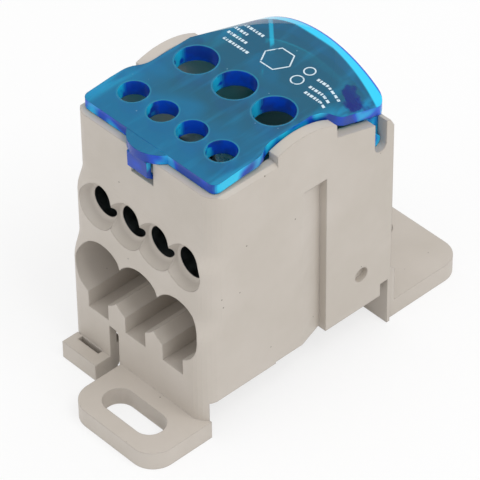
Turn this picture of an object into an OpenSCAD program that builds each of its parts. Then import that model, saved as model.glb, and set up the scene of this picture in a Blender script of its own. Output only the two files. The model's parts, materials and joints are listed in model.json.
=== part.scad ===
// Single-pole power distribution block: a moulded housing with a DIN rail pocket and two screw-down
// flanges, a hinged transparent cover, a stepped conductor block and its seven clamp screws.
// Frame: X is the width, Y runs from the front (negative) to the rear, Z is up from the mounting plane.

/* [Housing] */
// Width of the housing over its side walls
body_w = 29.5; // [29:0.5:32]
// Depth of the housing from the front face to the rear wall
body_d = 37.65; // [37.4:0.05:38]
// Thickness of the side walls and the rear wall
wall = 1.85; // [1.8:0.05:1.95]
// Height of the wall rim in front of the cover guards
rim_z = 43.9; // [43.6:0.1:44.2]
// Step back of each of the two upper terraces of the front face
terrace = 1.2; // [0.8:0.1:1.3]
// Radius of the two upright corners of the front face
corner_r = 2.8; // [2:0.1:3]
// Height of the cover guards above the rim at their crown
guard_h = 2.1; // [1.6:0.1:2.4]

/* [Mounting] */
// Width of the rail that the pocket takes
rail_w = 35; // [34.8:0.1:35.2]
// Height of the rail seat above the mounting plane
rail_seat_z = 6.4; // [6.2:0.1:6.8]
// Thickness of the two flanges and of the release tab
flange_t = 3.1; // [2.6:0.1:3.6]
// How far the front flange reaches ahead of the front face
front_flange_l = 10.5; // [10:0.5:14]
// How far the rear flange reaches behind the rear wall
rear_flange_l = 16.35; // [15:0.5:20]
// Width of the fixing slots
slot_w = 5; // [4:0.1:5.5]
// Length of the fixing slots over their round ends
slot_l = 11.6; // [9:0.1:12]

/* [Wire entries] */
// Height of the small entries above the mounting plane
small_z = 29.15; // [28.8:0.05:29.5]
// Metal left between neighbouring small bores
small_web = 0.9; // [0.9:0.1:2]
// Height of the large entries above the mounting plane
large_z = 17.65; // [17.4:0.05:17.9]
// Metal left between neighbouring large bores
large_web = 0.85; // [0.8:0.05:2]

/* [Clamp screws] */
// Metal left between the holes of the four small clamp screws
small_screw_web = 1; // [0.8:0.1:2]
// Metal left between the holes of the three large clamp screws
large_screw_web = 0.95; // [0.8:0.05:2]

/* [Cover] */
// Thickness of the cover plate
cover_t = 1.6; // [1.4:0.1:1.8]
// Gap between the rim and the underside of the closed cover
cover_gap = 0.12; // [0.1:0.02:0.2]
// Diameter of the screwdriver holes over the small screws
small_access_d = 4.6; // [4:0.1:5]
// Diameter of the screwdriver holes over the large screws
large_access_d = 6.4; // [5.5:0.1:6.8]
// Diameter of the hinge pins
pin_d = 2.2; // [2:0.1:2.3]

/* [Hidden] */
eps = 0.01;
cut = 0.5;
over = 10;

// Colours
beige = [0.77, 0.74, 0.69];
clear_blue = [0.10, 0.45, 0.75, 0.6];
tin = [0.72, 0.73, 0.74];
steel = [0.78, 0.79, 0.80];

// Housing, measured from the front face
half_w = body_w / 2;
inner_x = half_w - wall;
front_y = (front_flange_l - body_d - rear_flange_l) / 2;
rear_in = body_d - wall;
entry_margin = 0.7;
large_entry_margin = 0.826;
small_pitch = (2 * inner_x - 2 * entry_margin) / 4;
large_pitch = (2 * inner_x - 2 * large_entry_margin) / 3;
small_bore_d = small_pitch - small_web;
large_bore_d = large_pitch - large_web;
screw_fit = 0.05;
small_screw_d = small_pitch - small_screw_web - 2 * screw_fit;
large_screw_d = large_pitch - large_screw_web - 2 * screw_fit;
large_mouth_r = large_pitch * 0.62;
entry_play = 0.3;
groove_w = 4.3;
groove_depth = 7.4;
terrace_z = [17.6, 22.2, 29.9, 33.7];
curve_steps = 6;
corner_steps = 5;
blend_steps = 6;
front_wall_top = 1.9;
front_web_y = 3.2;
funnel_r = [small_pitch * 0.635, small_pitch * 0.54];
front_block_y = 15.9;
rear_crown_r = 30;
rear_crown_drop = 2.7;
rear_beam_w = 2;
entry_taper = 1.2;
front_web_z = large_z + large_bore_d / 2 + 1.85;
floor_t = 2;
floor_z = rail_seat_z + floor_t;
plate_t = 1.3;
rail_play = 0.75;
hook_front_y = plate_t + rail_w + rail_play;
seat_step = [14.1, 24.2, 0.3];
hook_relief = [1.55, 2.3];
rear_beam_z = rail_seat_z + hook_relief[1] + 1.9;
rim_chamfer = 0.6;
recess_y = [19.5, 24.2];
recess_depth = 1.4;
recess_top_z = rim_z - 8.25;
dimple = [31.5, 13, 1.25];
rib_x = [-6, 6];
rib_w = 1.6;
rib_gap = 0.1;

// Grip on the rail: reach at its foot and tip, and heights where the slope starts and ends
rail_grip_play = 1.3;
nose_reach = [0.2, 1.3];
nose_z = [0.6, 3.2];
nib_x = [-9, 5];
nib_reach = [0.2, 1.1];
nib_z = [0.4, 2.6];

// Cover guards on the side walls
guard_y = [14.65, 26.1];
guard_rear_z = rim_z + 0.45;
guard_crown_z = rim_z + guard_h;
guard_foot_z = 42.1;
guard_foot_run = 0.15;
guard_peak_shift = 0.9;
post_top_z = 39.3;
post_slope = [0.65, 0.2];
post_chamfer = [0.7, 1.25];

// Hinge
hinge_y = 35;
hinge_z = 35.7;
pin_fit = 0.08;
hinge_slot_w = pin_d + 2 * pin_fit;
lug_r = 1.6;
lug_x = [inner_x - 1.95, inner_x - 0.3];
pin_reach = 0.6;
lug_window = [inner_x - 2.3, 31.6];

// Conductor block, measured from the front face
block_x = inner_x - 0.4;
block_top_z = small_z + small_bore_d / 2 + 2.45;
block_deck_z = large_z + large_bore_d / 2 + 6.75;
block_head_gap = 0.6;
block_bottom_z = floor_z + 3.3;
block_fit = 0.15;
block_upper_y = [front_web_y + block_fit, 16.6];
block_lower_y = [front_block_y + block_fit, 28.2];
stop_h = 11;
stop_y = [block_lower_y[1] + block_fit, block_lower_y[1] + block_fit + 1.6];
small_screw_y = 9.2;
large_screw_y = 20.3;
small_bore_end = 12.2;
large_bore_end = 26.4;
small_screw_l = 8;
large_screw_l = 12;
screw_gap = 0.2;
screw_tip = 0.12;
screw_slot = [0.16, 0.3];
small_travel = 3;
large_travel = 4.5;
screw_hole_h = 20;

// Cover, measured from the front face
cover_y = [3.45, 37.45];
cover_bottom_z = rim_z + cover_gap;
cover_rise = [[9, 0.5], [cover_y[1] + cut, 1.15]];
cover_front_x = half_w - 0.9;
cover_waist_x = inner_x - 0.45;
cover_rear_x = half_w - 1.15;
cover_blend_r = 4;
cover_blend_y = [11.2, 24.8];
cover_corner_r = [1.2, 2];
arch_r = 20.5;
arch_rear_z = cover_bottom_z + cover_t + 1.05;
arch_tilt = 16.2;
lip_y = cover_y[1] - 2;
lip_drop = cover_t + 1.8;
collar_w = 0.9;
collar_h = 0.8;
latch_w = 4.1;
latch_y = [1.45, 1.5, 2.3, 2.95];
latch_drop = [2.3, 2.6, 2.7, 3.7];
latch_play = 0.25;
latch_pocket = [1.5, 4.4];
finger_r = 5.1;
finger_reach = 2.2;

// Front flange and release tab
slit_x = [-5.8, -3.8];
slit_top_z = 9.2;
slit_end_r = 0.9;
leg_gap = 1;
front_flange_x = slit_x[1] + 0.3;
tab_x = [-half_w + 1.55, slit_x[0]];
tab_l = 3;
tab_slot = [1.2, -0.95];
tab_slot_size = [4.5, 0.85];
flange_corner_r = 3.8;
front_slot_x = 5.35;
rear_slot_x = -2.55;
slot_edge = 5.2;
rear_flange_inset = 0.5;
root_z = [8.5, 10.8, 9.4];
root_depth = 1.4;

small_x = [for (i = [0:3]) (i - 1.5) * small_pitch];
large_x = [for (i = [0:2]) (i - 1) * large_pitch];

// Points of a smooth S from [y0, z0] to [y1, z1], upright at both ends
function s_curve(y0, z0, y1, z1) =
    [for (i = [0:curve_steps]) [
        y0 + (y1 - y0) * (1 - cos(180 * i / curve_steps)) / 2,
        z0 + (z1 - z0) * i / curve_steps
    ]];

// Points of an arc around c from angle a0 to a1
function arc(c, r, a0, a1, n) =
    [for (i = [0:n]) let (a = a0 + (a1 - a0) * i / n) c + r * [cos(a), sin(a)]];

// Radius of an arch that rises by rise over half_span
function sag_radius(half_span, rise) = (half_span * half_span + rise * rise) / (2 * rise);

// Turns the drawing's [y, z] outline into a solid across x0..x1
module across(x0, x1) {
    translate([x0, 0, 0])
        rotate([90, 0, 90])
            linear_extrude(height = x1 - x0)
                children();
}

// Everything is drawn from the front face and then set around the middle of the footprint
module placed() {
    translate([0, front_y, 0])
        children();
}

module lying_bore(x, z, r, y0, y1) {
    translate([x, y0, z])
        rotate([-90, 0, 0])
            cylinder(r = r, h = y1 - y0, $fn = 64);
}

module lying_cone(x, z, r0, r1, y0, y1) {
    translate([x, y0, z])
        rotate([-90, 0, 0])
            cylinder(r1 = r0, r2 = r1, h = y1 - y0, $fn = 64);
}

// ---------------------------------------------------------------- housing

// The terraced front, with each step scaled for the direction it faces
module terraced_slab(scale_back, depth, side) {
    across(-side, side)
        polygon(concat(
            [[0, -cut]],
            s_curve(0, terrace_z[0], terrace * scale_back, terrace_z[1]),
            s_curve(terrace * scale_back, terrace_z[2], 2 * terrace * scale_back, terrace_z[3]),
            [[2 * terrace * scale_back, rim_z + over], [depth, rim_z + over], [depth, -cut]]
        ));
}

// Outer form: terraces that wrap around both rounded corners of the front face
module outer_form() {
    intersection() {
        terraced_slab(1, body_d, half_w);
        for_corners();
    }
}

module for_corners() {
    intersection_for (side = [-1, 1], i = [1:corner_steps]) {
        turn = 90 * i / (corner_steps + 1);
        translate([side * (half_w - corner_r), corner_r, 0])
            rotate([0, 0, side * turn])
                translate([0, -corner_r, 0])
                    terraced_slab(cos(turn), 3 * body_d, 3 * body_d);
    }
}

// Outline of a side wall: guard, sloping rear edge, rear post and the rail pocket
module side_outline() {
    guard_mid = (guard_y[0] + guard_y[1]) / 2 - guard_peak_shift;
    guard_r = sag_radius(guard_y[1] - guard_mid, guard_crown_z - guard_rear_z);
    guard_c = [guard_mid, guard_crown_z - guard_r];
    a0 = acos((guard_y[0] - guard_mid) / guard_r);
    a1 = acos((guard_y[1] - guard_mid) / guard_r);
    polygon(concat(
        [
            [0, 0], [0, rim_z], [guard_y[0], rim_z]
        ],
        arc(guard_c, guard_r, a0, a1, 10),
        [
            [guard_y[1] + guard_foot_run, guard_foot_z],
            [hinge_y - hinge_slot_w / 2, post_top_z + post_slope[0]],
            [hinge_y + hinge_slot_w / 2, post_top_z + post_slope[1]],
            [body_d - post_chamfer[0], post_top_z],
            [body_d, post_top_z - post_chamfer[1]],
            [body_d, 0], [hook_front_y, 0]
        ],
        pocket_outline()
    ));
}

// The lower edge over the rail, with the relief that lets the block tilt on to the rail
function pocket_outline() = [
    [hook_front_y, rail_seat_z + hook_relief[1]],
    [hook_front_y - hook_relief[0], rail_seat_z + hook_relief[1]],
    [hook_front_y - hook_relief[0], rail_seat_z],
    [seat_step[1], rail_seat_z], [seat_step[1], rail_seat_z + seat_step[2]],
    [seat_step[0], rail_seat_z + seat_step[2]], [seat_step[0], rail_seat_z],
    [plate_t, rail_seat_z], [plate_t, 0]
];

// Section of the housing between its side walls
module middle_outline() {
    polygon(concat(
        [
            [0, 0], [0, rim_z], [2 * terrace + front_wall_top, rim_z],
            [2 * terrace + front_wall_top, block_top_z + block_head_gap],
            [front_web_y, block_top_z + block_head_gap],
            [front_web_y, front_web_z], [front_block_y, front_web_z],
            [front_block_y, floor_z], [stop_y[0], floor_z],
            [stop_y[0], floor_z + stop_h], [stop_y[1], floor_z + stop_h], [stop_y[1], floor_z],
            [rear_in - rear_beam_w, floor_z], [rear_in - rear_beam_w, rear_beam_z], [rear_in, rear_beam_z],
            [rear_in, rim_z], [body_d, rim_z],
            [body_d, 0], [hook_front_y, 0]
        ],
        pocket_outline()
    ));
}

// Rear wall crown, a shallow arch under the cover
module above_rear_wall() {
    difference() {
        translate([-inner_x - eps, rear_in - eps, rim_z - 8])
            cube([2 * inner_x + 2 * eps, wall + 1, over]);
        translate([0, rear_in - 1, rim_z - rear_crown_drop - rear_crown_r])
            rotate([-90, 0, 0])
                cylinder(r = rear_crown_r, h = wall + 3, $fn = 128);
    }
}

// One large wire entry: a deep round mouth, its guide groove below and the way to the block
module large_entry(x) {
    mouth_end = front_block_y - entry_taper;
    lying_bore(x, large_z, large_mouth_r, -cut, mouth_end);
    lying_cone(x, large_z, large_mouth_r, large_bore_d / 2 + entry_play, mouth_end, front_block_y);
    lying_bore(x, large_z, large_bore_d / 2 + entry_play, front_block_y - eps, front_block_y + cut);
    translate([x - groove_w / 2, -cut, large_z - groove_depth])
        cube([groove_w, mouth_end + cut, groove_depth]);
}

// One small wire entry: a funnel down to the face of the conductor block
module small_entry(x) {
    lying_cone(x, small_z, funnel_r[0], funnel_r[1], -0.2, front_web_y + cut);
}

module side_walls() {
    for (side = [-1, 1]) {
        across(side > 0 ? inner_x : -half_w, side > 0 ? half_w : -inner_x)
            side_outline();
    }
}

// Bevel along the outer edge of the rim ahead of the guards
module rim_bevel() {
    for (side = [-1, 1]) {
        translate([side * half_w, -cut, rim_z - rim_chamfer])
            rotate([0, side * -45, 0])
                translate([side > 0 ? 0 : -2, 0, 0])
                    cube([2, guard_y[0] + cut, 2]);
    }
    translate([-half_w - 1, 2 * terrace, rim_z - rim_chamfer])
        rotate([45, 0, 0])
            translate([0, -2, 0])
                cube([body_w + 2, 2, 2]);
}

// Slit and relief that free the spring leg from the front wall
module leg_relief() {
    through = plate_t + leg_gap + cut;
    shoulder = slit_end_r + 0.05;
    translate([slit_x[0], -cut, -cut])
        cube([slit_x[1] - slit_x[0], through, slit_top_z - slit_end_r + cut]);
    translate([slit_x[0], -cut, slit_top_z - shoulder])
        cube([slit_x[1] - slit_x[0] - slit_end_r, through, shoulder]);
    lying_bore(slit_x[1] - slit_end_r, slit_top_z - slit_end_r, slit_end_r, -cut, plate_t + leg_gap);
    translate([-half_w - cut, plate_t, rail_seat_z - cut])
        cube([slit_x[1] + half_w + cut, leg_gap, slit_top_z - rail_seat_z + cut]);
}

// Release tab of the spring leg with its screwdriver slot, and the nose that grips the rail
module release_tab() {
    difference() {
        translate([tab_x[0], -tab_l, 0])
            cube([tab_x[1] - tab_x[0], tab_l + eps, flange_t]);
        translate([tab_x[0] + tab_slot[0], tab_slot[1], -cut])
            cube([tab_slot_size[0], tab_slot_size[1], flange_t + 2 * cut]);
    }
    across(tab_x[0], tab_x[1])
        polygon([
            [plate_t - eps, nose_z[0]], [plate_t + nose_reach[0], nose_z[0]],
            [plate_t + nose_reach[1], nose_z[1]],
            [plate_t + nose_reach[1], rail_seat_z - rail_grip_play],
            [plate_t - eps, rail_seat_z - rail_grip_play]
        ]);
}

// A flange from x0 to x1 and y0 to y1 with both outer corners rounded, outer edge at y0
module flange_plate(x0, x1, y0, y1) {
    r = flange_corner_r;
    translate([x0 + r, y0, 0])
        cube([x1 - x0 - 2 * r, y1 - y0, flange_t]);
    translate([x0, y0 + r, 0])
        cube([x1 - x0, y1 - y0 - r, flange_t]);
    for (x = [x0 + r, x1 - r]) {
        translate([x, y0 + r, 0])
            cylinder(r = r, h = flange_t, $fn = 64);
    }
}

module fixing_slot(x, y) {
    span = slot_l - slot_w;
    translate([x - span / 2, y - slot_w / 2, -cut])
        cube([span, slot_w, flange_t + 2 * cut]);
    for (side = [-1, 1]) {
        translate([x + side * span / 2, y, -cut])
            cylinder(d = slot_w, h = flange_t + 2 * cut, $fn = 64);
    }
}

module flanges() {
    difference() {
        flange_plate(front_flange_x, half_w, -front_flange_l, corner_r);
        fixing_slot(front_slot_x, -front_flange_l + slot_edge);
        translate([front_flange_x - cut, plate_t, -cut])
            cube([body_w, body_d, flange_t + 2 * cut]);
        translate([half_w - corner_r, 0, -cut])
            difference() {
                translate([0, plate_t - eps, 0])
                    cube([corner_r + cut, corner_r, flange_t + 2 * cut]);
                translate([0, corner_r, -cut])
                    cylinder(r = corner_r, h = flange_t + 4 * cut, $fn = 64);
            }
    }
    difference() {
        union() {
            mirror([0, 1, 0])
                flange_plate(
                    -half_w + rear_flange_inset, half_w - rear_flange_inset,
                    -body_d - rear_flange_l, -hook_front_y
                );
            across(-half_w + rear_flange_inset, half_w - rear_flange_inset)
                polygon([
                    [hook_front_y, 0], [hook_front_y, root_z[0]], [body_d, root_z[1]],
                    [body_d + root_depth, root_z[2]], [body_d + root_depth, 0]
                ]);
        }
        fixing_slot(rear_slot_x, body_d + rear_flange_l - slot_edge);
    }
}

// Fixed nib at the rear that hooks under the rail
module rail_nib() {
    across(nib_x[0], nib_x[1])
        polygon([
            [hook_front_y + eps, nib_z[0]], [hook_front_y - nib_reach[0], nib_z[0]],
            [hook_front_y - nib_reach[1], nib_z[1]],
            [hook_front_y - nib_reach[1], rail_seat_z - rail_grip_play],
            [hook_front_y + eps, rail_seat_z - rail_grip_play]
        ]);
}

// Wedge-shaped recess and the small blind hole in the right side wall
module side_recess() {
    translate([0, 0, -cut])
        linear_extrude(height = recess_top_z + cut)
            polygon([
                [half_w + cut, recess_y[0]], [half_w, recess_y[0]],
                [half_w - recess_depth, recess_y[1]], [half_w + cut, recess_y[1]]
            ]);
    translate([half_w - 1, dimple[0], dimple[1]])
        rotate([0, 90, 0])
            cylinder(r = dimple[2], h = 2, $fn = 48);
}

// Upright slots for the hinge pins and the windows that the lugs swing through
module hinge_cuts() {
    translate([-half_w - cut, hinge_y, hinge_z])
        rotate([0, 90, 0])
            cylinder(d = hinge_slot_w, h = body_w + 2 * cut, $fn = 48);
    translate([-half_w - cut, hinge_y - hinge_slot_w / 2, hinge_z])
        cube([body_w + 2 * cut, hinge_slot_w, over]);
    for (side = [-1, 1]) {
        translate([side > 0 ? lug_window[0] : -inner_x, rear_in - cut, lug_window[1]])
            cube([inner_x - lug_window[0], wall + 2 * cut, rim_z]);
    }
}

// Pocket behind the cover's latch
module latch_pocket() {
    translate([-latch_w / 2 - latch_play, 2 * terrace - cut, rim_z - latch_pocket[1]])
        cube([latch_w + 2 * latch_play, latch_pocket[0] + cut, latch_pocket[1] + cut]);
}

module housing() {
    color(beige)
        placed() {
            difference() {
                intersection() {
                    union() {
                        side_walls();
                        across(-inner_x - eps, inner_x + eps)
                            middle_outline();
                    }
                    outer_form();
                }
                above_rear_wall();
                for (x = large_x) large_entry(x);
                for (x = small_x) small_entry(x);
                rim_bevel();
                leg_relief();
                side_recess();
                hinge_cuts();
                latch_pocket();
            }
            release_tab();
            flanges();
            rail_nib();
            for (x = rib_x) {
                translate([x - rib_w / 2, front_block_y - eps, floor_z - eps])
                    cube([rib_w, stop_y[0] - front_block_y + 2 * eps, block_bottom_z - floor_z - rib_gap]);
            }
        }
}

// ---------------------------------------------------------------- cover

// Plan of the cover: wide in front, a waist between the guards, wide again at the rear
module cover_plan() {
    right = concat(
        blend(cover_front_x, cover_waist_x, cover_blend_y[0]),
        blend(cover_waist_x, cover_rear_x, cover_blend_y[1])
    );
    r = cover_corner_r;
    front = arc([cover_front_x - r[0], cover_y[0] + r[0]], r[0], -90, 0, blend_steps);
    rear = arc([cover_rear_x - r[1], cover_y[1] - r[1]], r[1], 0, 90, blend_steps);
    half = concat(front, right, rear);
    polygon(concat(half, [for (i = [len(half) - 1:-1:0]) [-half[i][0], half[i][1]]]));
}

// An S of two equal arcs that leads the edge from half width a to half width b, starting at y
function blend(a, b, y) =
    let (h = abs(b - a), s = sign(b - a), span = sqrt(4 * cover_blend_r * h - h * h),
         top = asin(span / 2 / cover_blend_r))
    concat(
        [for (i = [0:blend_steps]) let (t = top * i / blend_steps)
            [a + s * cover_blend_r * (1 - cos(t)), y + cover_blend_r * sin(t)]],
        [for (i = [blend_steps - 1:-1:0]) let (t = top * i / blend_steps)
            [b - s * cover_blend_r * (1 - cos(t)), y + span - cover_blend_r * sin(t)]]
    );

// Everything under the arch of the rear half, lowered by drop
module under_arch(drop) {
    translate([0, cover_y[1], arch_rear_z])
        rotate([-arch_tilt, 0, 0])
            translate([0, 0, -arch_r - drop])
                rotate([90, 0, 0])
                    cylinder(r = arch_r, h = 3 * body_d, center = true, $fn = 128);
}

// Everything under the gently rising plate, with its face at height h over the underside
module under_plate(h) {
    z = cover_bottom_z + h;
    across(-half_w, half_w)
        polygon(concat(
            [[cover_y[0] - cut, z]],
            [for (p = cover_rise) [p[0], z + p[1]]],
            [[cover_y[1] + cut, z - 14], [cover_y[0] - cut, z - 14]]
        ));
}

// The plate itself: flat in front, arched towards the rear, with a lip along its rear edge
module cover_shell() {
    difference() {
        intersection() {
            translate([0, 0, cover_bottom_z - 6])
                linear_extrude(height = 12)
                    cover_plan();
            under_plate(cover_t);
            under_arch(0);
        }
        difference() {
            intersection() {
                under_plate(0);
                under_arch(cover_t);
            }
            difference() {
                translate([-lug_x[1], lip_y, cover_bottom_z - 14])
                    cube([2 * lug_x[1], 4, 20]);
                under_arch(lip_drop);
            }
        }
    }
}

module finger_tab() {
    tip_y = cover_y[0] - finger_reach;
    intersection() {
        translate([0, tip_y + finger_r, cover_bottom_z])
            cylinder(r = finger_r, h = cover_t, $fn = 64);
        translate([-finger_r, tip_y - 1, cover_bottom_z])
            cube([2 * finger_r, finger_reach + 1.5, cover_t]);
    }
    across(-latch_w / 2, latch_w / 2)
        polygon([
            [latch_y[0], cover_bottom_z + eps], [latch_y[1], rim_z - latch_drop[1]],
            [latch_y[3], rim_z - latch_drop[3]], [latch_y[3], rim_z - latch_drop[2]],
            [latch_y[2], rim_z - latch_drop[0]], [latch_y[2], cover_bottom_z + eps]
        ]);
}

// Short collar around a screwdriver hole, under the plate
module collar(x, y, r) {
    translate([x, y, cover_bottom_z + cover_rise[0][1] - collar_h])
        cylinder(r = r + collar_w, h = collar_h + cover_t / 2, $fn = 64);
}

// Hinge lugs inside the side walls, with the pins that turn in the wall slots
module hinge_lug(side) {
    x0 = side > 0 ? lug_x[0] : -lug_x[1];
    intersection() {
        union() {
            translate([x0, hinge_y, hinge_z])
                rotate([0, 90, 0])
                    cylinder(r = lug_r, h = lug_x[1] - lug_x[0], $fn = 48);
            translate([x0, hinge_y - lug_r, hinge_z])
                cube([lug_x[1] - lug_x[0], 2 * lug_r, 12]);
        }
        under_arch(cover_t / 2);
    }
    translate([side > 0 ? lug_x[1] - eps : -inner_x - pin_reach, hinge_y, hinge_z])
        rotate([0, 90, 0])
            cylinder(d = pin_d, h = inner_x + pin_reach - lug_x[1] + eps, $fn = 48);
}

module cover() {
    color(clear_blue)
        placed() {
            difference() {
                union() {
                    cover_shell();
                    finger_tab();
                    for (x = small_x) collar(x, small_screw_y, small_access_d / 2);
                    for (x = large_x) collar(x, large_screw_y, large_access_d / 2);
                }
                for (x = small_x) {
                    translate([x, small_screw_y, cover_bottom_z - 1])
                        cylinder(d = small_access_d, h = cover_t + 4, $fn = 64);
                }
                for (x = large_x) {
                    translate([x, large_screw_y, cover_bottom_z - 1])
                        cylinder(d = large_access_d, h = cover_t + 4, $fn = 64);
                }
            }
            for (side = [-1, 1]) hinge_lug(side);
        }
}

// ---------------------------------------------------------------- conductor block and screws

// Hole for a clamp screw, deep enough for the screw's whole travel
module screw_hole(x, y, z, d) {
    translate([x, y, z])
        cylinder(d = d + 2 * screw_fit, h = screw_hole_h, $fn = 48);
}

module conductor_block() {
    color(tin)
        placed() {
            difference() {
                across(-block_x, block_x)
                    polygon([
                        [block_upper_y[0], front_web_z + block_fit], [block_upper_y[0], block_top_z],
                        [block_upper_y[1], block_top_z], [block_upper_y[1], block_deck_z],
                        [block_lower_y[1], block_deck_z], [block_lower_y[1], block_bottom_z],
                        [block_lower_y[0], block_bottom_z], [block_lower_y[0], front_web_z + block_fit]
                    ]);
                for (x = small_x) {
                    lying_bore(x, small_z, small_bore_d / 2, block_upper_y[0] - cut, small_bore_end);
                    screw_hole(x, small_screw_y, small_z + small_bore_d / 2 - small_travel, small_screw_d);
                }
                for (x = large_x) {
                    lying_bore(x, large_z, large_bore_d / 2, block_lower_y[0] - cut, large_bore_end);
                    screw_hole(x, large_screw_y, large_z + large_bore_d / 2 - large_travel, large_screw_d);
                }
            }
        }
}

// Headless clamp screw with a chamfered tip and a driving slot
module clamp_screw(x, y, z, d, l) {
    r = d / 2;
    tip = d * screw_tip;
    color(steel)
        placed()
            translate([x, y, z])
                difference() {
                    rotate_extrude($fn = 48)
                        polygon([
                            [0, 0], [r - tip, 0], [r, tip], [r, l - 0.8 * tip], [r - 0.6 * tip, l], [0, l]
                        ]);
                    translate([-d, -d * screw_slot[0] / 2, l - d * screw_slot[1]])
                        cube([2 * d, d * screw_slot[0], d]);
                }
}

module small_screw(i) {
    clamp_screw(small_x[i], small_screw_y, small_z + small_bore_d / 2 + screw_gap,
                small_screw_d, small_screw_l);
}

module large_screw(i) {
    clamp_screw(large_x[i], large_screw_y, large_z + large_bore_d / 2 + screw_gap,
                large_screw_d, large_screw_l);
}

housing();
cover();
conductor_block();
small_screw(0);  // small_screw_1
small_screw(1);  // small_screw_2
small_screw(2);  // small_screw_3
small_screw(3);  // small_screw_4
large_screw(0);  // large_screw_1
large_screw(1);  // large_screw_2
large_screw(2);  // large_screw_3
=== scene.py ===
import json
import math

import bpy
from mathutils import Matrix, Vector
from mathutils.bvhtree import BVHTree


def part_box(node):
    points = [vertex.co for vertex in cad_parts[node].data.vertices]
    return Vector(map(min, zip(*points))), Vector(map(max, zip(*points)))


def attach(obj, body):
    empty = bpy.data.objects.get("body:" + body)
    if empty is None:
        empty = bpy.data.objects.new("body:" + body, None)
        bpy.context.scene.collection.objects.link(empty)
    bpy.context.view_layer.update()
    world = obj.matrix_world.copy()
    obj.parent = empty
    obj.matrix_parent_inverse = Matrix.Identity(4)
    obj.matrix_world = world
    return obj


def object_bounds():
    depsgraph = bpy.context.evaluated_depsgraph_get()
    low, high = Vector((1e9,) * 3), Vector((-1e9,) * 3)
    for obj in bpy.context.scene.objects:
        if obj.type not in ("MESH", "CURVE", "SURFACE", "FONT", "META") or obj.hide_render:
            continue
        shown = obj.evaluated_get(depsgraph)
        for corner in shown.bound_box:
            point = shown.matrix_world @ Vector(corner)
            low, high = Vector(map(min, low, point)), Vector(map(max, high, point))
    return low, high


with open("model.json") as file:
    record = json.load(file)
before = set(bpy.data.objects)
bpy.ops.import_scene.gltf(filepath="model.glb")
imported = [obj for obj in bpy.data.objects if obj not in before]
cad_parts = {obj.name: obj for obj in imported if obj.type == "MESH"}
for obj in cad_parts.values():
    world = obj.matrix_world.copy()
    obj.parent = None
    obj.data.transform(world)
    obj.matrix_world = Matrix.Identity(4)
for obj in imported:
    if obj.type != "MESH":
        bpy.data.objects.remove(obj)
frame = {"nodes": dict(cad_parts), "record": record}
cad_low, cad_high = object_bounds()
MM = 0.001

# ---------------------------------------------------------------- places taken from the frame

house_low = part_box("housing")[0]
cover_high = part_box("cover")[1]
FRONT_FLANGE = 10.5 * MM
FRONT_Y = house_low.y + FRONT_FLANGE  # front face of the housing
LIP_Y = cover_high.y - 2.0 * MM  # front side of the lip along the cover's rear edge
LIP_BOW = 4.9  # per metre; bends the lip's inner border with the arch
LUG_RAGGED = 1.6 * MM  # how far a lug's outline strays
LUG_X = 12.3 * MM
LUG_Y = FRONT_Y + 32.6 * MM
LUG_R = 2.2 * MM
STREAK_LENGTH = 0.16  # how much slower the cover's streaks change along them
HIGHLIGHT_LINE_START = Vector((-8.1 * MM, FRONT_Y + 34.9 * MM))  # start of a painted highlight line over the plate's rear; no such part is modelled
HIGHLIGHT_LINE_ALONG = Vector((0.75, -0.66))
HIGHLIGHT_LINE_ENDS = [(5.6 * MM, 5.0 * MM), (-1.5 * MM, -1.0 * MM)]  # where it fades, in x from its start
SMALL_PITCH = 6.1 * MM
LARGE_PITCH = 8.05 * MM
DRIVER_HOLES = [  # centre in y, pitch, shift of the row in x, radius
    (FRONT_Y + 9.2 * MM, SMALL_PITCH, SMALL_PITCH / 2, 2.3 * MM),
    (FRONT_Y + 20.3 * MM, LARGE_PITCH, 0.0, 3.2 * MM),
]

# ---------------------------------------------------------------- colours, as linear values


def srgb(r, g, b):
    """Linear colour of an 8-bit screen colour."""
    def lin(v):
        v /= 255.0
        return v / 12.92 if v <= 0.04045 else ((v + 0.055) / 1.055) ** 2.4
    return (lin(r), lin(g), lin(b), 1.0)


BEIGE = srgb(196, 188, 179)
BEIGE_DARK = srgb(190, 182, 172)
SPECK = srgb(120, 112, 102)
PLATE_BLUE = srgb(30, 138, 188)
PLATE_TEAL = srgb(38, 118, 152)
# painted glow and painted highlights on the cover: lip, edge faces, hole walls and a line over the
# rear
GLOW_CYAN = srgb(40, 212, 255)
EDGE_BLUE = srgb(16, 78, 214)
EDGE_DEEP = srgb(28, 68, 172)
# painted shade: dark patch over the hinge lugs under the plate
KNUCKLE_SHADE = srgb(30, 48, 150)
STREAK = srgb(40, 176, 228)
# painted highlight ring round each driver hole
HALO_HIGHLIGHT = srgb(50, 166, 204)
DUST = srgb(150, 205, 228)
TINT = srgb(34, 196, 208)
TIN = srgb(138, 146, 148)
TIN_DARK = srgb(96, 104, 106)
ZINC = srgb(214, 216, 219)
PRINT_WHITE = srgb(206, 224, 234)
FLOOR_WHITE = (0.9, 0.9, 0.9, 1.0)

# ---------------------------------------------------------------- material helpers


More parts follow.
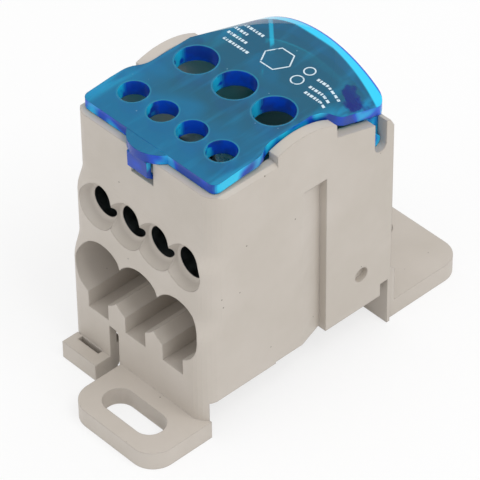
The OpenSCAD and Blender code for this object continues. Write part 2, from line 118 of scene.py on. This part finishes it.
class Graph:
    """A material under construction: nodes are added with add() and wired with link()."""

    def __init__(self, name):
        self.mat = bpy.data.materials.new(name)
        self.mat.use_nodes = True
        self.tree = self.mat.node_tree
        self.tree.nodes.clear()
        self.out = self.add("ShaderNodeOutputMaterial")
        self.coord = self.add("ShaderNodeTexCoord")

    def add(self, kind, **settings):
        node = self.tree.nodes.new(kind)
        for key, value in settings.items():
            setattr(node, key, value)
        return node

    def link(self, a, b):
        self.tree.links.new(a, b)

    def noise(self, scale, detail=2.0, rough=0.5):
        """Noise in object space; scale is in features per metre."""
        node = self.add("ShaderNodeTexNoise")
        node.inputs["Scale"].default_value = scale
        node.inputs["Detail"].default_value = detail
        node.inputs["Roughness"].default_value = rough
        self.link(self.coord.outputs["Object"], node.inputs["Vector"])
        return node.outputs["Fac"]

    def ramp(self, fac, stops):
        """Colour ramp from (position, colour) stops."""
        node = self.add("ShaderNodeValToRGB")
        points = node.color_ramp.elements
        while len(points) < len(stops):
            points.new(0.5)
        for point, (pos, colour) in zip(points, stops):
            point.position = pos
            point.color = colour
        self.link(fac, node.inputs["Fac"])
        return node.outputs["Color"]

    def between(self, fac, low, high):
        """A value that runs from low to high as fac runs from 0.3 to 0.7."""
        node = self.add("ShaderNodeMapRange")
        node.inputs["From Min"].default_value = 0.3
        node.inputs["From Max"].default_value = 0.7
        node.inputs["To Min"].default_value = low
        node.inputs["To Max"].default_value = high
        self.link(fac, node.inputs["Value"])
        return node.outputs["Result"]

    def math(self, operation, a, b=None):
        """a is a socket; b is a socket or a number."""
        node = self.add("ShaderNodeMath", operation=operation)
        self.link(a, node.inputs[0])
        if hasattr(b, "is_output"):
            self.link(b, node.inputs[1])
        elif b is not None:
            node.inputs[1].default_value = b
        return node.outputs[0]

    def distance(self, x, y):
        """Distance of the point x, y from the origin."""
        squares = self.math("ADD", self.math("MULTIPLY", x, x), self.math("MULTIPLY", y, y))
        return self.math("SQRT", squares)

    def step(self, value, start, end):
        """Runs from 0 where value is start to 1 where it is end."""
        node = self.add("ShaderNodeMapRange")
        node.inputs["From Min"].default_value = start
        node.inputs["From Max"].default_value = end
        self.link(value, node.inputs["Value"])
        return node.outputs["Result"]

    def mix(self, fac, a, b):
        """Colour mix; a and b are sockets or colours."""
        node = self.add("ShaderNodeMix", data_type="RGBA")
        self.link(fac, node.inputs[0])
        for value, socket in ((a, node.inputs[6]), (b, node.inputs[7])):
            if hasattr(value, "is_output"):
                self.link(value, socket)
            else:
                socket.default_value = value
        return node.outputs[2]

    def drawn_out(self, scale, detail=2.0):
        """Noise stretched to streaks that run front to back; scale is per metre across them."""
        turn = self.add("ShaderNodeMapping")
        turn.inputs["Scale"].default_value = (1.0, STREAK_LENGTH, 1.0)
        self.link(self.coord.outputs["Object"], turn.inputs["Vector"])
        node = self.add("ShaderNodeTexNoise")
        node.inputs["Scale"].default_value = scale
        node.inputs["Detail"].default_value = detail
        self.link(turn.outputs["Vector"], node.inputs["Vector"])
        return node.outputs["Fac"]

    def specks(self, cells, radius):
        """1 in small round specks; cells is how many per metre, each with at most one speck."""
        node = self.add("ShaderNodeTexVoronoi")
        node.inputs["Scale"].default_value = cells
        self.link(self.coord.outputs["Object"], node.inputs["Vector"])
        return self.step(node.outputs["Distance"], radius * cells, radius * cells * 0.6)

    def bump(self, height, depth, strength=0.5, edge=0.0):
        """Normal from a height field; depth, and edge as the radius of sharp edges, in metres."""
        node = self.add("ShaderNodeBump")
        node.inputs["Strength"].default_value = strength
        node.inputs["Distance"].default_value = depth
        self.link(height, node.inputs["Height"])
        if edge:
            bevel = self.add("ShaderNodeBevel", samples=4)
            bevel.inputs["Radius"].default_value = edge
            self.link(bevel.outputs["Normal"], node.inputs["Normal"])
        return node.outputs["Normal"]

    def principled(self, **inputs):
        """Principled shader; each input is a value or a socket, with _ for a space in its name."""
        node = self.add("ShaderNodeBsdfPrincipled")
        for key, value in inputs.items():
            socket = node.inputs[key.replace("_", " ")]
            if hasattr(value, "is_output"):
                self.link(value, socket)
            else:
                socket.default_value = value
        return node.outputs["BSDF"]

    def done(self, shader):
        self.link(shader, self.out.inputs["Surface"])
        return self.mat


def housing_plastic():
    """Matt moulded plastic: faint mottling, a few dark specks, fine grain, soft edges."""
    g = Graph("housing_plastic")
    tone = g.ramp(g.noise(90, 3), [(0.35, BEIGE_DARK), (0.65, BEIGE)])
    colour = g.mix(g.specks(250, 0.16 * MM), tone, SPECK)
    rough = g.between(g.noise(600, 3), 0.42, 0.56)
    normal = g.bump(g.noise(5200, 2), 0.03 * MM, 0.35, edge=0.25 * MM)
    return g.done(g.principled(Base_Color=colour, Roughness=rough, Normal=normal, IOR=1.46))


def clear_cover():
    """Clear blue plastic: see-through plate, painted glow on the edges and the rear lip, painted
    dark patches over the hinge lugs, painted highlights round the driver holes and along a line at
    the rear.
    """
    g = Graph("clear_cover")
    place = g.add("ShaderNodeSeparateXYZ")
    g.link(g.coord.outputs["Object"], place.inputs["Vector"])
    x, y = place.outputs["X"], place.outputs["Y"]
    across = g.math("ABSOLUTE", x)
    facing = g.add("ShaderNodeSeparateXYZ")
    turned = g.add("ShaderNodeVectorTransform", vector_type="NORMAL", convert_to="OBJECT")
    turned.convert_from = "WORLD"
    g.link(g.add("ShaderNodeNewGeometry").outputs["True Normal"], turned.inputs["Vector"])
    g.link(turned.outputs["Vector"], facing.inputs["Vector"])

    # top face: two blues, streaks beside the edges, a painted highlight ring round each driver
    # hole
    to_rear = g.step(y, FRONT_Y + 6 * MM, FRONT_Y + 24 * MM)
    to_rear = g.math("ADD", to_rear, g.between(g.noise(110, 2), -0.5, 0.5))
    plate = g.ramp(to_rear, [(0.2, PLATE_BLUE), (0.8, PLATE_TEAL)])
    plate = g.mix(g.math("MULTIPLY", g.step(g.drawn_out(520, 3), 0.55, 0.75), 0.35), plate, STREAK)
    beside = g.step(across, 11.6 * MM, 13 * MM)
    streaks = g.math("MULTIPLY", beside, g.step(g.drawn_out(700), 0.4, 0.56))
    plate = g.mix(streaks, plate, STREAK)
    plate = g.mix(g.specks(420, 0.13 * MM), plate, DUST)
    inner = g.step(across, 12 * MM, 11.8 * MM)
    for hole_y, pitch, shift, radius in DRIVER_HOLES:
        from_x = g.math("PINGPONG", g.math("ADD", x, shift), pitch / 2)
        from_y = g.math("SUBTRACT", y, hole_y)
        halo_highlight = g.step(g.distance(from_x, from_y), radius + 0.3 * MM, radius + 0.16 * MM)
        plate = g.mix(g.math("MULTIPLY", halo_highlight, inner), plate, HALO_HIGHLIGHT)

    # painted dark patches over the hinge lugs under the plate, a painted highlight line, then the
    # painted glow of the lip with a painted dark line along the rear edge
    lug_x = g.math("SUBTRACT", across, LUG_X)
    lug_y = g.math("SUBTRACT", y, LUG_Y)
    stray = g.between(g.noise(300, 2), -LUG_RAGGED, LUG_RAGGED)
    ragged = g.math("ADD", g.distance(lug_x, lug_y), stray)
    plate = g.mix(g.step(ragged, LUG_R, LUG_R - 0.7 * MM), plate, KNUCKLE_SHADE)
    highlight_x = g.math("MULTIPLY", g.math("SUBTRACT", x, HIGHLIGHT_LINE_START.x), -HIGHLIGHT_LINE_ALONG.y)
    highlight_y = g.math("MULTIPLY", g.math("SUBTRACT", y, HIGHLIGHT_LINE_START.y), HIGHLIGHT_LINE_ALONG.x)
    highlight_line = g.step(g.math("ABSOLUTE", g.math("ADD", highlight_x, highlight_y)), 0.4 * MM, 0.2 * MM)
    for gone, full in HIGHLIGHT_LINE_ENDS:
        highlight_line = g.math("MULTIPLY", highlight_line, g.step(x, HIGHLIGHT_LINE_START.x + gone, HIGHLIGHT_LINE_START.x + full))
    plate = g.mix(highlight_line, plate, GLOW_CYAN)
    # painted glow along the lip, then a painted dark line along the cover's rear edge
    bowed = g.math("ADD", y, g.math("MULTIPLY", g.math("MULTIPLY", x, x), LIP_BOW))
    lip = g.step(bowed, LIP_Y + 0.35 * MM, LIP_Y + 0.75 * MM)
    plate = g.mix(lip, plate, GLOW_CYAN)
    plate = g.mix(g.step(y, cover_high.y - 0.4 * MM, cover_high.y - 0.15 * MM), plate, EDGE_BLUE)

    # edge faces: painted glow in patches and painted highlights on faces turned to +x; the walls
    # of the driver holes are deep blue with painted highlights in patches on the walls that face
    # rearward
    rim_glow = g.ramp(g.noise(230, 1), [(0.42, EDGE_DEEP), (0.52, EDGE_BLUE), (0.66, GLOW_CYAN)])
    to_right = g.step(facing.outputs["X"], 0.55, 0.9)
    rim_glow = g.mix(g.math("MULTIPLY", to_right, g.step(g.noise(170, 1), 0.5, 0.62)), rim_glow, GLOW_CYAN)
    hole_wall_highlit = g.mix(g.step(g.noise(420, 2), 0.42, 0.6), EDGE_BLUE, EDGE_DEEP)
    rearward = g.step(facing.outputs["Y"], -0.25, 0.1)
    lit = g.math("MULTIPLY", rearward, g.step(g.noise(600, 1), 0.62, 0.52))
    hole_wall_highlit = g.mix(lit, hole_wall_highlit, GLOW_CYAN)
    away = g.step(y, FRONT_Y + 6 * MM, FRONT_Y + 6.4 * MM)
    bored = g.math("MULTIPLY", g.math("MULTIPLY", inner, away), g.step(y, LIP_Y, LIP_Y - 0.2 * MM))
    rim_glow = g.mix(bored, rim_glow, hole_wall_highlit)

    upright = g.step(g.math("ABSOLUTE", facing.outputs["Z"]), 0.75, 0.45)
    rough = g.between(g.noise(900, 3), 0.06, 0.16)
    normal = g.bump(g.noise(260, 2), 0.05 * MM, 0.3, edge=0.2 * MM)
    body = g.principled(
        Base_Color=g.mix(upright, plate, rim_glow), Roughness=rough, Normal=normal, IOR=1.49,
        Specular_IOR_Level=0.35, Coat_Weight=0.12, Coat_Roughness=0.05,
    )
    clear = g.add("ShaderNodeBsdfTransparent")
    clear.inputs["Color"].default_value = TINT
    shadow = g.add("ShaderNodeLightPath").outputs["Is Shadow Ray"]
    solid = g.math("MAXIMUM", g.between(upright, 0.5, 0.8), g.between(lip, 0.5, 0.9))
    solid = g.math("MULTIPLY", solid, g.between(shadow, 1.0, 0.05))
    mixed = g.add("ShaderNodeMixShader")
    g.link(solid, mixed.inputs["Fac"])
    g.link(clear.outputs["BSDF"], mixed.inputs[1])
    g.link(body, mixed.inputs[2])
    return g.done(mixed.outputs["Shader"])


def plated_metal(name, light, dark, rough_low, rough_high):
    """Plated metal with clouded tone and fine machining marks."""
    g = Graph(name)
    tone = g.ramp(g.noise(300, 4), [(0.35, dark), (0.65, light)])
    rough = g.between(g.noise(700, 3), rough_low, rough_high)
    normal = g.bump(g.noise(3000, 3), 0.02 * MM, 0.4, edge=0.1 * MM)
    return g.done(g.principled(Base_Color=tone, Metallic=1.0, Roughness=rough, Normal=normal))


def print_ink():
    """White ink, a little worn."""
    g = Graph("print_ink")
    worn = g.ramp(g.noise(1500, 3), [(0.3, PLATE_TEAL), (0.42, PRINT_WHITE)])
    rough = g.between(g.noise(2500, 2), 0.35, 0.55)
    normal = g.bump(g.noise(6000, 2), 0.01 * MM, 0.3)
    return g.done(g.principled(Base_Color=worn, Roughness=rough, Normal=normal))


materials = {
    "housing_plastic": housing_plastic(),
    "clear_cover": clear_cover(),
    "tinned_metal": plated_metal("tinned_metal", TIN, TIN_DARK, 0.28, 0.42),
    "screw_steel": plated_metal("screw_steel", ZINC, TIN, 0.22, 0.36),
}
for part in frame["record"]["subparts"]:
    node = frame["nodes"][part["node"]]
    node.data.materials.clear()
    node.data.materials.append(materials[part["material_slot"]])

# ---------------------------------------------------------------- linings of the small entries

SMALL_ENTRIES = 4
ENTRY_Z = 29.15 * MM
ENTRY_MOUTH = 3.62 * MM  # radius and depth of the funnel's mouth
MOUTH_Y = 1.25 * MM
THROAT = 2.86 * MM  # radius and depth where the funnel ends
THROAT_Y = 3.12 * MM
LIP_R = 2.52 * MM  # the small rounded lip behind it
LIP_END_Y = 3.3 * MM
ENTRY_SPOKES = 96
FUNNEL_ROWS = 4
LIP_ROWS = 3
SKIN_GAP = 0.03 * MM  # the linings start this far behind the housing's skin
LEAST_FUNNEL = 0.3 * MM
PROBE_GAP = 0.2 * MM  # the skin's depth is taken this far outside the mouth

house_mesh = frame["nodes"]["housing"].data
house_tree = BVHTree.FromPolygons(
    [v.co for v in house_mesh.vertices], [tuple(p.vertices) for p in house_mesh.polygons]
)


def face_depth(x, z):
    """How far the housing's front skin lies behind its foremost plane at x, z."""
    hit = house_tree.ray_cast(Vector((x, house_low.y - MM, z)), Vector((0, 1, 0)))[0]
    return hit.y - FRONT_Y if hit else MOUTH_Y


def spoke_start(centre_x, angle, limit):
    """Radius and depth where a lining starts: at the mouth, or on the ridge between two."""
    side = abs(math.cos(angle))
    if limit and side * ENTRY_MOUTH > limit:
        radius = limit / side
        deeper = (THROAT_Y - MOUTH_Y) * (ENTRY_MOUTH - radius) / (ENTRY_MOUTH - THROAT)
        return radius, MOUTH_Y + deeper
    reach = ENTRY_MOUTH + PROBE_GAP
    skin = face_depth(centre_x + reach * math.cos(angle), ENTRY_Z + reach * math.sin(angle))
    return ENTRY_MOUTH, min(max(MOUTH_Y, skin + SKIN_GAP), THROAT_Y - LEAST_FUNNEL)


def spoke(radius, depth):
    """Radius and depth pairs down a funnel and round its lip."""
    pairs = []
    for t in range(FUNNEL_ROWS + 1):
        share = t / FUNNEL_ROWS
        pairs.append((radius + (THROAT - radius) * share, depth + (THROAT_Y - depth) * share))
    for t in range(1, LIP_ROWS + 1):
        turn = math.pi / 2 * t / LIP_ROWS
        pairs.append((
            THROAT - (THROAT - LIP_R) * math.sin(turn),
            THROAT_Y + (LIP_END_Y - THROAT_Y) * (1 - math.cos(turn)),
        ))
    return pairs


verts, faces = [], []
for k in range(SMALL_ENTRIES):
    centre_x = (k - (SMALL_ENTRIES - 1) / 2) * SMALL_PITCH
    first = len(verts)
    for i in range(ENTRY_SPOKES):
        angle = 2 * math.pi * i / ENTRY_SPOKES
        has_neighbour = k < SMALL_ENTRIES - 1 if math.cos(angle) > 0 else k > 0
        pairs = spoke(*spoke_start(centre_x, angle, SMALL_PITCH / 2 if has_neighbour else None))
        start = len(verts)
        for radius, depth in pairs:
            x = centre_x + radius * math.cos(angle)
            z = ENTRY_Z + radius * math.sin(angle)
            verts.append((x, FRONT_Y + depth, z))
        after = start + len(pairs) if i < ENTRY_SPOKES - 1 else first
        for j in range(len(pairs) - 1):
            faces.append((start + j, start + j + 1, after + j + 1, after + j))
lining_mesh = bpy.data.meshes.new("entry_linings")
lining_mesh.from_pydata(verts, [], faces)
lining_mesh.polygons.foreach_set("use_smooth", [True] * len(faces))
lining_mesh.materials.append(materials["housing_plastic"])
linings = bpy.data.objects.new("entry_linings", lining_mesh)
bpy.context.collection.objects.link(linings)
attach(linings, "base")

# ---------------------------------------------------------------- print on the cover

cover_mesh = frame["nodes"]["cover"].data
cover_tree = BVHTree.FromPolygons(
    [v.co for v in cover_mesh.vertices], [tuple(p.vertices) for p in cover_mesh.polygons]
)
INK = 0.03 * MM


def on_cover(x, y):
    """Point just above the cover's top face; x and y in mm, y from the housing's front face."""
    start = Vector((x * MM, FRONT_Y + y * MM, cover_high.z + 10 * MM))
    hit = cover_tree.ray_cast(start, Vector((0, 0, -1)))[0]
    return hit + Vector((0, 0, INK))


def strip(name, centre_line, width):
    """A printed line along points on the cover's curved face; points and width are in mm."""
    verts, faces = [], []
    count = len(centre_line)
    for i, (x, y) in enumerate(centre_line):
        ahead = centre_line[min(i + 1, count - 1)]
        behind = centre_line[max(i - 1, 0)]
        if centre_line[0] == centre_line[-1] and i in (0, count - 1):
            ahead, behind = centre_line[1], centre_line[-2]
        along = Vector((ahead[0] - behind[0], ahead[1] - behind[1])).normalized()
        side = Vector((-along.y, along.x)) * width / 2
        verts += [on_cover(x + side.x, y + side.y), on_cover(x - side.x, y - side.y)]
        if i:
            k = 2 * i
            faces.append((k - 2, k - 1, k + 1, k))
    mesh = bpy.data.meshes.new(name)
    mesh.from_pydata(verts, [], faces)
    mesh.materials.append(ink)
    piece = bpy.data.objects.new(name, mesh)
    bpy.context.collection.objects.link(piece)
    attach(piece, "lid")


def straight(a, b, steps):
    """Evenly spaced points from a to b."""
    return [
        (a[0] + (b[0] - a[0]) * i / steps, a[1] + (b[1] - a[1]) * i / steps)
        for i in range(steps + 1)
    ]


def ring(x, y, r, steps=36):
    """A closed round of points about x, y."""
    turns = [2 * math.pi * i / steps for i in range(steps)]
    points = [(x + r * math.cos(turn), y + r * math.sin(turn)) for turn in turns]
    return points + points[:1]


ink = print_ink()
TEXT_H = 0.52  # height of a row, all in mm
LINE = 0.22
DASHES = [0.42, 0.3, 0.55, 0.36, 0.3, 0.48]
GAP = 0.18
rows = [  # name, x from and to, y
    ("left_1", -9.0, -5.2, 30.7), ("left_2", -9.6, -6.8, 29.3), ("left_3", -9.6, -5.6, 27.9),
    ("left_4", -9.0, -3.7, 26.5), ("right_1", 7.4, 11.6, 29.4), ("right_2", 7.7, 11.3, 27.5),
    ("right_3", 8.1, 11.6, 26.2),
]
for name, x_start, x_end, y in rows:
    x, count = x_start, 0
    while x < x_end:
        dash = DASHES[count % len(DASHES)]
        count += 1
        strip("print_%s_%d" % (name, count), straight((x, y), (x + dash, y), 2), TEXT_H)
        x += dash + GAP
for name, x, y, radius in [("upper", 5.3, 29.9, 0.85), ("lower", 5.4, 27.3, 0.95)]:
    strip("print_ring_" + name, ring(x, y, radius), LINE)
corners = ring(0.0, 28.6, 2.5, 6)
hexagon = [p for a, b in zip(corners, corners[1:]) for p in straight(a, b, 6)[:-1]]
strip("print_hexagon", hexagon + corners[:1], LINE)

# ---------------------------------------------------------------- floor, light and camera

FLOOR_SIZE = 3.0
FLOOR_GLOW = 0.72  # share of plain white in the floor as the camera sees it
ROOM_LIGHT = 0.80
floor_mesh = bpy.data.meshes.new("floor")
h = FLOOR_SIZE / 2
floor_mesh.from_pydata([(-h, -h, 0), (h, -h, 0), (h, h, 0), (-h, h, 0)], [], [(0, 1, 2, 3)])
floor = bpy.data.objects.new("floor", floor_mesh)
floor.location.z = cad_low.z - 0.02 * MM
bpy.context.collection.objects.link(floor)
g = Graph("floor")
white = g.add("ShaderNodeEmission")
white.inputs["Color"].default_value = (1, 1, 1, 1)
lit = g.add("ShaderNodeMixShader")
paths = g.add("ShaderNodeLightPath").outputs
seen = g.math("MAXIMUM", paths["Is Camera Ray"], paths["Is Glossy Ray"])
seen = g.math("MAXIMUM", seen, paths["Is Transmission Ray"])
share = g.math("MULTIPLY", seen, FLOOR_GLOW)
g.link(share, lit.inputs["Fac"])
g.link(g.principled(Base_Color=FLOOR_WHITE, Roughness=0.9), lit.inputs[1])
g.link(white.outputs["Emission"], lit.inputs[2])
floor_mesh.materials.append(g.done(lit.outputs["Shader"]))

world = bpy.data.worlds.new("studio")
bpy.context.scene.world = world
world.use_nodes = True
tree = world.node_tree
tree.nodes.clear()
paths = tree.nodes.new("ShaderNodeLightPath")
shiny = tree.nodes.new("ShaderNodeMath")
shiny.operation = "MAXIMUM"
tree.links.new(paths.outputs["Is Glossy Ray"], shiny.inputs[0])
tree.links.new(paths.outputs["Is Transmission Ray"], shiny.inputs[1])
seen = tree.nodes.new("ShaderNodeMath")
seen.operation = "MAXIMUM"
tree.links.new(paths.outputs["Is Camera Ray"], seen.inputs[0])
tree.links.new(shiny.outputs[0], seen.inputs[1])
soft = tree.nodes.new("ShaderNodeBackground")
soft.inputs["Strength"].default_value = ROOM_LIGHT
plain = tree.nodes.new("ShaderNodeBackground")
plain.inputs["Strength"].default_value = 1.0
for node in (soft, plain):
    node.inputs["Color"].default_value = (1, 1, 1, 1)
blend_bg = tree.nodes.new("ShaderNodeMixShader")
world_out = tree.nodes.new("ShaderNodeOutputWorld")
tree.links.new(seen.outputs[0], blend_bg.inputs["Fac"])
tree.links.new(soft.outputs[0], blend_bg.inputs[1])
tree.links.new(plain.outputs[0], blend_bg.inputs[2])
tree.links.new(blend_bg.outputs[0], world_out.inputs["Surface"])


def softbox(name, place, target, size, watts):
    """A square lamp at place that faces target."""
    light = bpy.data.lights.new(name, "AREA")
    light.shape = "SQUARE"
    light.size = size
    light.energy = watts
    lamp = bpy.data.objects.new(name, light)
    lamp.location = place
    lamp.rotation_euler = (target - Vector(place)).to_track_quat("-Z", "Y").to_euler()
    bpy.context.collection.objects.link(lamp)


middle = (cad_low + cad_high) / 2
softbox("key", (0.45, 0.05, 0.75), middle, 0.45, 2.4)
softbox("fill", (-0.2, -0.6, 0.35), middle, 0.5, 0.4)

AZIMUTH = math.radians(46.83)
ELEVATION = math.radians(41.18)
ROLL = math.radians(-0.40)
DISTANCE = 521.2 * MM
AIM = Vector((0, FRONT_Y + 25 * MM, 20 * MM))
OFFSET = Vector((-0.02, -5.08)) * MM  # sideways and up, in the picture's plane
LENS = 265.65  # mm, on a sensor of SENSOR mm
SENSOR = 36.0
IMAGE = 480  # pixels across
SHIFT = (-20, 6)  # pixels
back = Vector((
    math.sin(AZIMUTH) * math.cos(ELEVATION),
    -math.cos(AZIMUTH) * math.cos(ELEVATION),
    math.sin(ELEVATION),
))
right = Vector((math.cos(AZIMUTH), math.sin(AZIMUTH), 0))
up = back.cross(right)
cam_right = right * math.cos(ROLL) + up * math.sin(ROLL)
cam_up = up * math.cos(ROLL) - right * math.sin(ROLL)
data = bpy.data.cameras.new("camera")
data.lens = LENS
data.sensor_width = SENSOR
data.shift_x = SHIFT[0] / IMAGE
data.shift_y = SHIFT[1] / IMAGE
data.clip_start = 0.01
camera = bpy.data.objects.new("camera", data)
turn = Matrix((cam_right, cam_up, back)).transposed().to_4x4()
place = AIM + back * DISTANCE + cam_right * OFFSET.x + cam_up * OFFSET.y
camera.matrix_world = Matrix.Translation(place) @ turn
bpy.context.collection.objects.link(camera)
bpy.context.scene.camera = camera
bpy.context.scene.view_settings.view_transform = "Standard"
